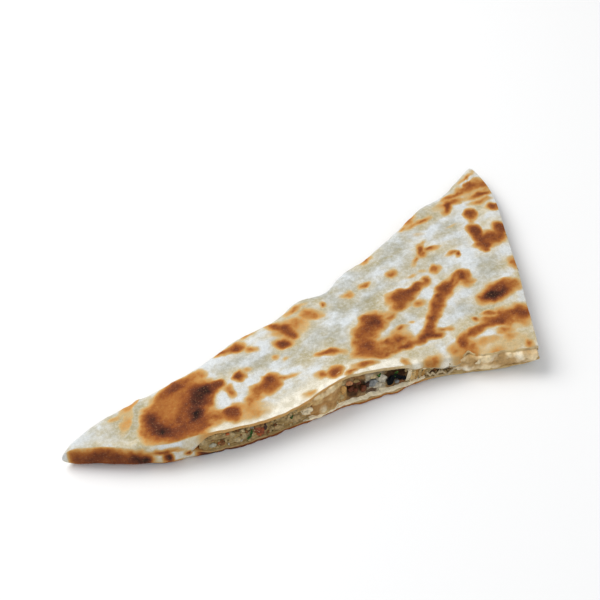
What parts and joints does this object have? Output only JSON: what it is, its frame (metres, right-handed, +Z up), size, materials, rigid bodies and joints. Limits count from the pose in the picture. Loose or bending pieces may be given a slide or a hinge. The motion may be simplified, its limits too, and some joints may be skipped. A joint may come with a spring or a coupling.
{
  "type": "gozleme",
  "caption": "Thin triangular piece of folded flatbread with brown griddle spots, a wavy folded edge, and cut edges that show a crumbly cheese and herb filling.",
  "frame": {"origin": "bottom centre of the piece's box, on the surface it lies on", "axes": "+X along the long cut from the narrow tip to the square corner, +Y from the long cut to the folded edge, +Z up through the upper skin"},
  "size_m": [0.2162, 0.1462, 0.0164],
  "materials": {
    "dough": "matte griddled dough, pale cream with golden to dark brown scorch spots and a dusting of flour",
    "filling": "moist crumbly cheese and potato with leaves of dough, dark herbs and reddish brown bits"
  },
  "bodies": {
    "root": {"dough": "dough", "filling": "filling"}
  },
  "joints": []
}
